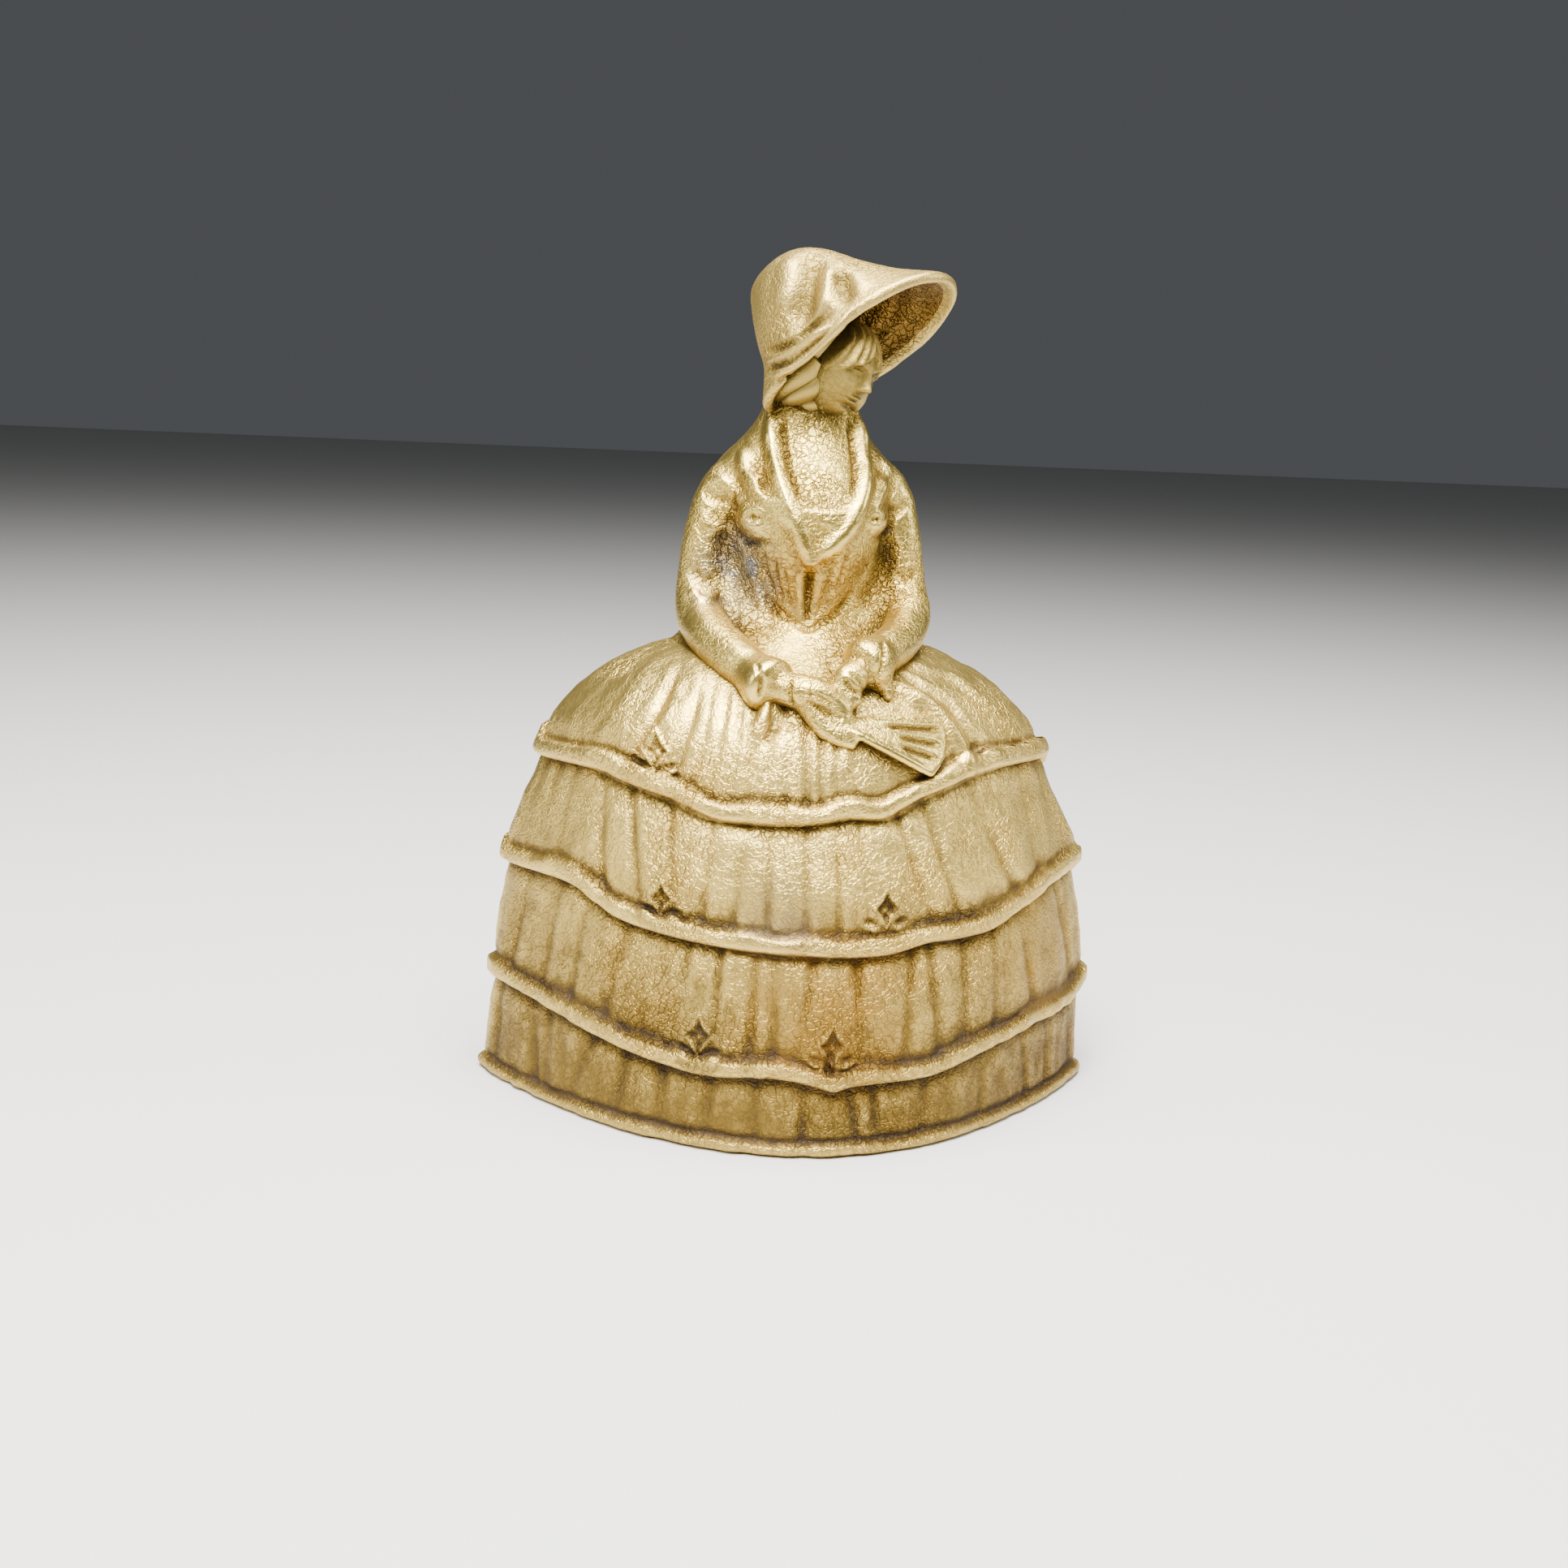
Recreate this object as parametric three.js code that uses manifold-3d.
// A cast brass table handbell in the form of a lady in a crinoline gown and a poke bonnet.
// The gown is the bell's mouth, the figure is its handle, and a clapper hangs inside from a wire staple.
// Millimetres, +Z up. The mouth's rim lies on z = 0 and the lady faces -Y; +X is on the left of a
// person who stands in her place, which is the right of a person who faces her.
import * as THREE from "three";
import { mergeVertices } from "three/addons/utils/BufferGeometryUtils.js";
import Module from "manifold-3d";

// ---- Driving dimensions -------------------------------------------------------------------------
const RIM_HALF_WIDTH = 37.5; // inside the rolled edge of the rim, corner to corner
const RIM_HALF_DEPTH = 28.8; // inside the rolled edge of the rim, front to back
const WALL = 2.8; // thickness of the cast gown
const CROWN_Z = 50; // highest point of the hollow
const DOME_Z = 40; // the hollow starts to close here
const COLUMNS = 44; // facets round the gown
const BODICE_COLUMNS = 24; // facets round the bodice and neck
const HEM_HEIGHT = 2.3; // rolled hem of each flounce
const HEM_PROUD = 0.75; // how far a rolled hem stands out
const HEM_SEAT = 0.25; // how far under a hem its shape starts
const RIM_HEIGHT = 1.5; // rolled edge of the rim
const RIM_PROUD = 0.5;
const HEMS_END_Z = 44.5; // above this the gown is plain

const STAPLE_WIRE = 0.9; // radius of the iron wire
const STAPLE_HALF_WIDTH = 3.2; // between the middles of its legs, halved
const STAPLE_BOW_Z = 43.6; // middle of the wire at the bow's lowest point
const STAPLE_TOP_Z = 57.5; // ends of the legs, inside the casting
const CLEARANCE = 0.3; // between a leg and its socket, and between the rod and what it carries
const LINK_WIRE = 0.7; // radius of the link's wire
const LINK_HALF_WIDTH = 2.1; // of the link's middle line
const LINK_DROP = 5.2; // from the staple's bow to the wire that the clapper hangs on
const SLACK = 0.15; // free play where one wire hangs on another
const ROD_WIRE = 0.85; // radius of the clapper's rod
const EYE_RADIUS = 2.0; // middle line of the rod's eye
const BOB_RADIUS = 6.2;
const BOB_Z = 15.4; // middle of the bob's ball
const WASHER_RADIUS = 2.3;
const WASHER_THICKNESS = 0.7;

// ---- Gown, bodice and neck: one row of numbers for each height -----------------------------------
// z, half width, half depth, sharpness of the side corners (0.5 is an ellipse, 1 a pointed oval), middle's x
const GOWN = [
  [0, RIM_HALF_WIDTH, RIM_HALF_DEPTH, 0.95, 0.0],
  [5, 37.1, 28.5, 0.95, 0.1],
  [10.5, 36.7, 28.2, 0.95, 0.4],
  [16, 36.6, 28.1, 0.94, 0.7],
  [21, 35.9, 27.6, 0.93, 0.6],
  [25, 35.2, 27.0, 0.92, 0.5],
  [30, 34.8, 26.6, 0.9, 0.5],
  [34, 33.2, 25.4, 0.87, 0.2],
  [38, 31.4, 24.2, 0.84, 0.0],
  [42, 30.3, 23.5, 0.8, -0.2],
  [45, 28.8, 22.3, 0.76, -0.4],
  [47.5, 26.6, 20.7, 0.72, -0.5],
  [49.5, 24.3, 18.9, 0.68, -0.5],
  [51.3, 21.6, 16.6, 0.63, -0.4],
  [52.8, 18.2, 14.2, 0.58, -0.3],
  [54.2, 14.2, 12.2, 0.54, -0.2],
  [56, 9.0, 10.2, 0.5, -0.1],
  [58.5, 6.2, 9.0, 0.5, 0.0],
  [62, 6.8, 9.2, 0.5, 0.1],
  [66, 8.6, 10.0, 0.5, 0.2],
  [69.5, 9.4, 9.7, 0.5, 0.2],
  [73, 9.0, 8.2, 0.5, 0.2],
  [76, 7.0, 6.2, 0.5, 0.2],
  [78.5, 5.6, 4.6, 0.5, 0.2],
  [81.5, 4.8, 3.4, 0.5, 0.3],
  [84.5, 4.2, 2.6, 0.5, 0.6],
];
const WAIST_Z = 58.5;
// The lower edge of each rolled hem on the front: share of the half width, z
const HEMS = [
  [
    [-1, 39.3], [-0.74, 39.2], [-0.44, 37.0], [-0.2, 36.4], [0.05, 37.0],
    [0.27, 37.4], [0.5, 39.7], [0.72, 41.2], [1, 40.3],
  ],
  [
    [-1, 26.3], [-0.77, 26.5], [-0.6, 24.0], [-0.35, 23.0], [0, 22.8],
    [0.35, 22.9], [0.62, 23.8], [0.82, 26.2], [1, 27.0],
  ],
  [
    [-1, 11.9], [-0.76, 10.7], [-0.5, 9.0], [-0.2, 8.5], [0.06, 7.6],
    [0.3, 8.0], [0.55, 9.2], [0.8, 10.5], [1, 11.8],
  ],
];

// Upper back and shoulders behind the bodice: z, half width, half depth, middle's y, middle's x
const BACK = [
  [51, 15.4, 10.6, 0.9, -0.2],
  [54, 13.4, 10.2, 1.0, -0.3],
  [57, 12.8, 9.4, 1.4, -0.3],
  [61, 12.2, 8.7, 1.7, -0.3],
  [66, 11.8, 8.4, 1.9, -0.4],
  [70, 11.6, 7.9, 1.9, -0.4],
  [73, 11.0, 7.1, 1.6, -0.4],
  [75.5, 9.7, 6.1, 1.2, -0.3],
  [78, 7.4, 5.0, 0.7, -0.2],
  [80.5, 5.9, 4.3, 0.5, 0],
  [82.5, 5.0, 3.8, 0.4, 0],
  [85.5, 3.2, 2.4, -0.2, 0.4],
];

// Arms from shoulder to wrist: x, y, z, radius
const RIGHT_ARM = [
  [-8.2, 0.6, 74.0, 2.4],
  [-10.2, 0.1, 70.8, 2.9],
  [-11.5, -0.5, 66, 3.0],
  [-12.2, -1.4, 60.8, 2.9],
  [-12.4, -3.8, 57.2, 2.9],
  [-10.9, -8.8, 54.9, 2.7],
  [-8.2, -13.6, 53.0, 2.6],
  [-5.6, -17.0, 51.5, 2.3],
];
const LEFT_ARM = [
  [7.7, 0.6, 74.4, 2.3],
  [9.7, 0.1, 71.2, 2.8],
  [10.8, -0.5, 66.2, 2.9],
  [11.6, -1.4, 61, 2.8],
  [12.0, -3.8, 57.6, 2.8],
  [10.7, -8.2, 55.6, 2.5],
  [8.3, -12.4, 54.5, 2.4],
  [6.0, -15.4, 53.6, 2.2],
];

const BRASS = { color: 0xb39452, metalness: 1, roughness: 0.38 };
const IRON = { color: 0x4a4540, metalness: 1, roughness: 0.6 };

// ---- Solids ---------------------------------------------------------------------------------------
const wasm = await Module();
wasm.setup();

// A closed three.js geometry as a manifold-3d solid, with its shared vertices merged.
function solid(geometry) {
  const bare = new THREE.BufferGeometry();
  bare.setAttribute("position", geometry.getAttribute("position"));
  bare.setIndex(geometry.index);
  const merged = mergeVertices(bare, 1e-4);
  const corners = Array.from(merged.index.array);
  const kept = [];
  for (let i = 0; i < corners.length; i += 3) {
    const [a, b, c] = corners.slice(i, i + 3);
    if (a !== b && b !== c && c !== a) kept.push(a, b, c);
  }
  return new wasm.Manifold(
    new wasm.Mesh({
      numProp: 3,
      vertProperties: new Float32Array(merged.attributes.position.array),
      triVerts: new Uint32Array(kept),
    }),
  );
}

function geometryOf(made) {
  const mesh = made.getMesh();
  const positions = new Float32Array(mesh.numVert * 3);
  for (let i = 0; i < mesh.numVert; i++) {
    positions.set(mesh.vertProperties.subarray(i * mesh.numProp, i * mesh.numProp + 3), i * 3);
  }
  const geometry = new THREE.BufferGeometry();
  geometry.setAttribute("position", new THREE.BufferAttribute(positions, 3));
  geometry.setIndex(new THREE.BufferAttribute(new Uint32Array(mesh.triVerts), 1));
  return geometry;
}

// Moves every vertex of a closed cylinder to place(angle, row, radius), where the radius is 1 on its side
// wall, 0 in the middle of its ends, and row runs from 0 at the bottom to rows at the top.
function loft(columns, rows, place) {
  const geometry = new THREE.CylinderGeometry(1, 1, 1, columns, rows);
  geometry.rotateX(Math.PI / 2);
  const position = geometry.getAttribute("position");
  for (let i = 0; i < position.count; i++) {
    const [x, y, z] = [position.getX(i), position.getY(i), position.getZ(i)];
    const turn = Math.round((Math.atan2(x, -y) / (2 * Math.PI)) * columns);
    const angle = (2 * Math.PI * (turn === -columns / 2 ? columns / 2 : turn)) / columns;
    const point = place(angle, Math.round((z + 0.5) * rows), Math.hypot(x, y) > 0.5 ? 1 : 0);
    position.setXYZ(i, point.x, point.y, point.z);
  }
  return solid(geometry);
}

// The value at t in rows of numbers that start with their own t, smoothed as a Catmull-Rom curve.
function along(table, t) {
  let i = 0;
  while (i < table.length - 2 && t > table[i + 1][0]) i++;
  const before = table[Math.max(i - 1, 0)];
  const from = table[i];
  const to = table[i + 1];
  const after = table[Math.min(i + 2, table.length - 1)];
  const span = to[0] - from[0];
  const u = Math.min(Math.max((t - from[0]) / span, 0), 1);
  return from.slice(1).map((start, k) => {
    const end = to[k + 1];
    const leave = ((end - before[k + 1]) / (to[0] - before[0])) * span;
    const arrive = ((after[k + 1] - start) / (after[0] - from[0])) * span;
    return (
      start * (2 * u ** 3 - 3 * u ** 2 + 1) + leave * (u ** 3 - 2 * u ** 2 + u) +
      end * (3 * u ** 2 - 2 * u ** 3) + arrive * (u ** 3 - u ** 2)
    );
  });
}

// ---- The gown ---------------------------------------------------------------------------------------
// Share of the half width at an angle from the front. Low on the gown it steps evenly to the corners.
function share(angle, z) {
  const even = THREE.MathUtils.clamp((WAIST_Z - z) / 20, 0, 0.75);
  const folded = Math.abs(angle) > Math.PI / 2 ? Math.sign(angle) * (Math.PI - Math.abs(angle)) : angle;
  return (1 - even) * Math.sin(folded) + (even * folded) / (Math.PI / 2);
}

// A point of the gown at an angle and height, pushed out by proud.
function gownPoint(angle, z, proud = 0) {
  const [width, depth, corner, middle] = along(GOWN, z);
  const s = share(angle, z);
  const side = Math.abs(angle) > Math.PI / 2 ? 1 : -1;
  const reach = Math.max(1 - s * s, 0) ** corner;
  return new THREE.Vector3(middle + (width + proud) * s, side * (depth + proud) * reach, z);
}

// The gown's front surface above x, z
function frontY(x, z) {
  const [width, depth, corner, middle] = along(GOWN, z);
  const s = Math.min(Math.abs(x - middle) / width, 1);
  return -depth * (1 - s * s) ** corner;
}

// Rows up the gown: each is a height between two hems, and how far it stands proud there.
function gownRows() {
  const rows = [];
  const lowerEdge = [() => 0, ...HEMS.slice().reverse().map((hem) => (s) => along(hem, s)[0])];
  lowerEdge.forEach((edge, tier) => {
    const height = tier === 0 ? RIM_HEIGHT : HEM_HEIGHT;
    const proud = tier === 0 ? RIM_PROUD : HEM_PROUD;
    if (tier > 0) rows.push([(s) => edge(s) - HEM_SEAT, 0]);
    rows.push([(s) => edge(s), proud * 0.6]);
    rows.push([(s) => edge(s) + height / 2, proud]);
    rows.push([(s) => edge(s) + height, 0.15]);
    const next = lowerEdge[tier + 1] ?? (() => HEMS_END_Z - 1);
    rows.push([(s) => THREE.MathUtils.lerp(edge(s) + height, next(s) - HEM_SEAT, 0.5), 0.1]);
  });
  rows.push([() => HEMS_END_Z, 0]);
  for (const [z] of GOWN.filter(([height]) => height > 45 && height < WAIST_Z)) rows.push([() => z, 0]);
  return rows;
}

function gown() {
  const rows = gownRows();
  return loft(COLUMNS, rows.length - 1, (angle, row, radius) => {
    const [height, proud] = rows[row];
    const z = height(share(angle, 30));
    const point = gownPoint(angle, z, proud);
    if (radius) return point;
    return new THREE.Vector3(row ? along(GOWN, z)[3] : 0, 0, row ? z : 0);
  });
}

function bodice() {
  const heights = GOWN.map(([z]) => z).filter((z) => z > 53);
  return loft(BODICE_COLUMNS, heights.length - 1, (angle, row, radius) => {
    const z = heights[row];
    return radius ? gownPoint(angle, z) : new THREE.Vector3(along(GOWN, z)[3], 0, z);
  });
}

// The hollow inside the gown, a wall's thickness in, that closes in a dome under the waist.
function hollow() {
  const rows = 9;
  return loft(COLUMNS, rows, (angle, row, radius) => {
    const z = row === 0 ? -1 : THREE.MathUtils.lerp(0, CROWN_Z, (row - 1) / (rows - 1));
    const [width, depth, corner, middle] = along(GOWN, Math.max(z, 0));
    const climb = Math.max(z - DOME_Z, 0) / (CROWN_Z + 0.6 - DOME_Z);
    const closing = Math.sqrt(Math.max(1 - climb ** 2, 0));
    const s = share(angle, z);
    const side = Math.abs(angle) > Math.PI / 2 ? 1 : -1;
    const x = middle + (width - WALL * 1.25) * closing * s;
    const y = side * (depth - WALL) * closing * Math.max(1 - s * s, 0) ** corner;
    return radius ? new THREE.Vector3(x, y, z) : new THREE.Vector3(middle, 0, z);
  });
}

// ---- The figure ---------------------------------------------------------------------------------------
function upperBack() {
  return loft(20, BACK.length - 1, (angle, row, radius) => {
    const [z, width, depth, y, x] = BACK[row];
    return new THREE.Vector3(x + radius * width * Math.sin(angle), y - radius * depth * Math.cos(angle), z);
  });
}

// A round limb through points with a radius each.
function limb(points, sides = 10, steps = 11) {
  const table = points.map(([x, y, z, r], i) => [i, x, y, z, r]);
  const last = points.length - 1;
  const at = (t) => new THREE.Vector3(...along(table, t).slice(0, 3));
  return loft(sides, steps, (angle, row, radius) => {
    const t = (row / steps) * last;
    const ahead = at(Math.min(t + 0.05, last)).sub(at(Math.max(t - 0.05, 0))).normalize();
    const across = new THREE.Vector3(0, 1, 0.2).cross(ahead).normalize();
    const over = ahead.clone().cross(across);
    const r = radius * along(table, t)[3];
    return at(t).addScaledVector(across, r * Math.sin(angle)).addScaledVector(over, -r * Math.cos(angle));
  });
}

function ball(x, y, z, rx, ry, rz, columns = 14, rows = 10) {
  const geometry = new THREE.SphereGeometry(1, columns, rows);
  geometry.rotateX(Math.PI / 2);
  geometry.scale(rx, ry, rz);
  geometry.translate(x, y, z);
  return solid(geometry);
}

// A raised band laid on the gown through x, z points: an oval cord half sunk in the surface.
function laidBand(points, wide, proud) {
  const on = points.map(([x, z]) => [x, frontY(x, z), z, 1]);
  const table = on.map((point, i) => [i, ...point]);
  const steps = (points.length - 1) * 3;
  const place = (t) => new THREE.Vector3(...along(table, t).slice(0, 3));
  return loft(8, steps, (angle, row, radius) => {
    const t = (row / steps) * (points.length - 1);
    const next = place(Math.min(t + 0.05, points.length - 1));
    const ahead = next.sub(place(Math.max(t - 0.05, 0))).normalize();
    const across = ahead.clone().cross(new THREE.Vector3(0, -1, 0)).normalize();
    return place(t)
      .addScaledVector(across, radius * wide * Math.sin(angle))
      .addScaledVector(new THREE.Vector3(0, -1, 0), radius * proud * Math.cos(angle));
  });
}

function collar() {
  const bands = [
    laidBand([[-4.6, 79.4], [-4.4, 75.4], [-3.4, 71.6], [-1.8, 68], [-0.3, 64]], 0.8, 0.8),
    laidBand([[5.1, 79.8], [5.7, 75.6], [5.5, 71.6], [3.8, 67.8], [0.4, 64.8]], 0.9, 0.9),
    laidBand([[-10, 73.2], [-8.4, 70.6], [-5.6, 69.2], [-2.4, 67.4]], 0.8, 0.8),
    laidBand([[9.2, 73.4], [8.4, 71], [6.8, 69]], 0.8, 0.8),
    laidBand([[-1.8, 69.9], [1.4, 69.4], [4.6, 69.8]], 0.7, 0.7),
  ];
  const places = [[-6.7, 68.6], [7.4, 68.9]];
  const roses = places.map(([x, z]) => ball(x, frontY(x, z) + 0.4, z, 1.7, 1.4, 1.7, 12, 8));
  return wasm.Manifold.union([...bands, ...roses]);
}

// The closed fan lies on the gown: a wedge that follows the surface, from its pivot to its open end.
function fan() {
  const pivot = [1.2, 47.6];
  const radius = 14.2;
  const [low, high] = [-0.47, 0.02]; // angles of its two guards, in radians from +X
  const steps = 6;
  const place = (r, turn, lift) => {
    const x = pivot[0] + r * Math.cos(turn);
    const z = pivot[1] + r * Math.sin(turn);
    return new THREE.Vector3(x, frontY(x, z) - lift, z);
  };
  return loft(4, steps, (angle, row, inside) => {
    const r = THREE.MathUtils.lerp(1, radius, row / steps);
    const corner = Math.round((angle / (2 * Math.PI)) * 4);
    const turn = THREE.MathUtils.lerp(low, high, corner === 0 || corner === 1 ? 0 : 1);
    const lift = corner === 0 || corner === -1 ? 1.1 : -0.6;
    return inside ? place(r, turn, lift) : place(r, (low + high) / 2, 0.25);
  });
}

function hands() {
  return wasm.Manifold.union([
    limb([[-6.2, -16.6, 51.7, 2.5], [-4.6, -18.6, 50.8, 3.0]], 10, 2), // right cuff
    limb([[6.7, -14.8, 53.9, 2.4], [5.0, -16.8, 53.1, 2.8]], 10, 2), // left cuff
    limb([[-4.2, -18.6, 50.8, 1.8], [-1.0, -19.7, 50.6, 1.8], [2.2, -20.4, 49.4, 1.3]], 8, 4), // right hand
    limb([[4.4, -17.4, 52.5, 1.8], [2.6, -19.2, 51.0, 1.6]], 8, 2), // left hand
  ]);
}

// ---- Head and poke bonnet -------------------------------------------------------------------------
// The bonnet is a row of ovals from its crown, behind the head, to the open brim.
const BRIM_MIDDLE = new THREE.Vector3(5.1, -2.6, 88.6);
const BRIM_LONG = new THREE.Vector3(0.823, 0, 0.568); // from the neck to the tip of the brim
const BRIM_WIDE = new THREE.Vector3(0.287, 0.863, -0.416); // from her right side to her left
const BRIM_OUT = new THREE.Vector3().crossVectors(BRIM_WIDE, BRIM_LONG).normalize(); // the way the brim opens
const BRIM_WALL = 1.5;
const BONNET = [
  // depth behind the brim, shift along the brim, half length, half width
  [14.2, -3.0, 0.5, 0.5],
  [13.4, -2.8, 3.9, 3.9],
  [10.9, -2.3, 6.0, 6.3],
  [7.3, -1.7, 7.9, 7.4],
  [4.4, -0.9, 9.6, 7.7],
  [2.0, -0.3, 11.6, 8.3],
  [0.0, 0.0, 13.3, 9.2],
];

// The bonnet's outer shape, or its inner one when it is shrunk by a wall. The inner one stops a wall short of
// the crown and runs out past the brim.
function bonnetShape(wall, past) {
  const last = BONNET.length - 1;
  return loft(24, last, (angle, row, radius) => {
    const [depth, shift, long, wide] = BONNET[row];
    const towardsNeck = (1 - Math.cos(angle)) / 2;
    const taper = 1 - 0.3 * (row / last) * towardsNeck ** 1.5;
    const shortfall = row === 0 ? wall : 0;
    const overrun = row === last ? past : 0;
    return BRIM_MIDDLE.clone()
      .addScaledVector(BRIM_OUT, shortfall + overrun - depth)
      .addScaledVector(BRIM_LONG, shift + radius * Math.max(long - wall, 0.3) * Math.cos(angle))
      .addScaledVector(BRIM_WIDE, -radius * Math.max(wide - wall, 0.3) * taper * Math.sin(angle));
  });
}

function head() {
  return ball(2.3, -2.8, 86.4, 4.2, 4.7, 5.3, 16, 12);
}

// ---- Clapper and its hanging --------------------------------------------------------------------------
function wire(points, radius, steps) {
  const section = new THREE.Shape().absarc(0, 0, radius, 0, 2 * Math.PI, false);
  const extrudePath = new THREE.CatmullRomCurve3(points);
  return new THREE.ExtrudeGeometry(section, { steps, curveSegments: 4, bevelEnabled: false, extrudePath });
}

// A turned piece from the closed outline of half its section, as radius and z.
function turned(outline, segments = 24) {
  const geometry = new THREE.LatheGeometry(outline.map(([r, z]) => new THREE.Vector2(r, z)), segments);
  geometry.rotateX(Math.PI / 2);
  return geometry;
}

// A U of iron wire: its legs are cast into the crown, its round bow carries the link.
function stapleSolid(radius, top) {
  const middle = STAPLE_BOW_Z + STAPLE_HALF_WIDTH;
  const points = [
    new THREE.Vector3(-STAPLE_HALF_WIDTH, 0, top),
    new THREE.Vector3(-STAPLE_HALF_WIDTH, 0, middle + 3),
  ];
  for (let turn = Math.PI; turn <= 2 * Math.PI + 0.01; turn += Math.PI / 6) {
    const [x, z] = [STAPLE_HALF_WIDTH * Math.cos(turn), middle + STAPLE_HALF_WIDTH * Math.sin(turn)];
    points.push(new THREE.Vector3(x, 0, z));
  }
  points.push(new THREE.Vector3(STAPLE_HALF_WIDTH, 0, middle + 3));
  points.push(new THREE.Vector3(STAPLE_HALF_WIDTH, 0, top));
  return solid(wire(points, radius, 26));
}

// An oval ring of wire that stands in the YZ plane, from its top bow down to its lower bow.
function link() {
  const top = STAPLE_BOW_Z + STAPLE_WIRE + SLACK + LINK_WIRE;
  const bottom = STAPLE_BOW_Z - LINK_DROP;
  const straight = top - bottom - 2 * LINK_HALF_WIDTH;
  const geometry = new THREE.TorusGeometry(LINK_HALF_WIDTH, LINK_WIRE, 8, 20);
  const position = geometry.getAttribute("position");
  for (let i = 0; i < position.count; i++) {
    const stretch = position.getY(i) > 0.01 ? straight / 2 : -straight / 2;
    position.setY(i, position.getY(i) + stretch);
  }
  geometry.rotateX(Math.PI / 2);
  geometry.rotateZ(Math.PI / 2);
  geometry.translate(0, 0, (top + bottom) / 2);
  return solid(geometry);
}

const EYE_Z = STAPLE_BOW_Z - LINK_DROP + LINK_WIRE + SLACK + ROD_WIRE - EYE_RADIUS; // middle of the rod's eye
const SEAT_Z = BOB_Z - BOB_RADIUS * 0.9; // flat underside of the bob
const WASHER_Z = SEAT_Z - CLEARANCE - WASHER_THICKNESS; // underside of the washer

// The rod: an eye at the top, a straight stem, and a riveted head under the washer.
function rod() {
  const eye = new THREE.TorusGeometry(EYE_RADIUS, ROD_WIRE, 8, 20);
  eye.rotateX(Math.PI / 2);
  eye.translate(0, 0, EYE_Z);
  const stemTop = EYE_Z - EYE_RADIUS;
  const headTop = WASHER_Z - CLEARANCE;
  const stemFoot = headTop - 0.6;
  const stem = turned([[0, stemFoot], [ROD_WIRE, stemFoot], [ROD_WIRE, stemTop], [0, stemTop]], 12);
  const headOutline = [[0, -1.1], [1.0, -1.0], [1.7, -0.4], [1.6, 0], [0, 0]];
  const head = turned(headOutline.map(([r, below]) => [r, headTop + below]), 16);
  return wasm.Manifold.union([solid(eye), solid(stem), solid(head)]);
}

function bob() {
  const bore = ROD_WIRE + CLEARANCE;
  const outline = [[bore, SEAT_Z]];
  const foot = Math.acos(0.9);
  const crown = Math.PI - Math.asin((bore + 0.5) / BOB_RADIUS);
  for (let i = 0; i <= 12; i++) {
    const turn = THREE.MathUtils.lerp(foot, crown, i / 12);
    outline.push([BOB_RADIUS * Math.sin(turn), BOB_Z - BOB_RADIUS * Math.cos(turn)]);
  }
  const shoulder = outline.at(-1)[1];
  outline.push([bore, shoulder + 0.3], outline[0]);
  return solid(turned(outline));
}

function washer() {
  const bore = ROD_WIRE + CLEARANCE;
  const top = WASHER_Z + WASHER_THICKNESS;
  const corners = [[bore, WASHER_Z], [WASHER_RADIUS, WASHER_Z], [WASHER_RADIUS, top], [bore, top]];
  return solid(turned([...corners, corners[0]], 20));
}

// ---- The casting: gown and figure in one piece ----------------------------------------------------------
function casting() {
  const sockets = stapleSolid(STAPLE_WIRE + CLEARANCE, STAPLE_TOP_Z + CLEARANCE);
  const body = [gown(), bodice(), upperBack(), limb(RIGHT_ARM), limb(LEFT_ARM)];
  const hood = bonnetShape(0, 0).subtract(bonnetShape(BRIM_WALL, 1));
  const lady = wasm.Manifold.union([...body, hands(), fan(), collar(), head(), hood]);
  return lady.subtract(hollow()).subtract(sockets);
}

function named(name, made, look) {
  const mesh = new THREE.Mesh(geometryOf(made), new THREE.MeshStandardMaterial(look));
  mesh.name = name;
  return mesh;
}

const handbell = new THREE.Group();
handbell.add(
  named("bell_casting", casting(), BRASS),
  named("crown_staple", stapleSolid(STAPLE_WIRE, STAPLE_TOP_Z), IRON),
  named("hanger_link", link(), IRON),
  named("clapper_rod", rod(), IRON),
  named("clapper_bob", bob(), BRASS),
  named("bob_washer", washer(), BRASS),
);

export default handbell;
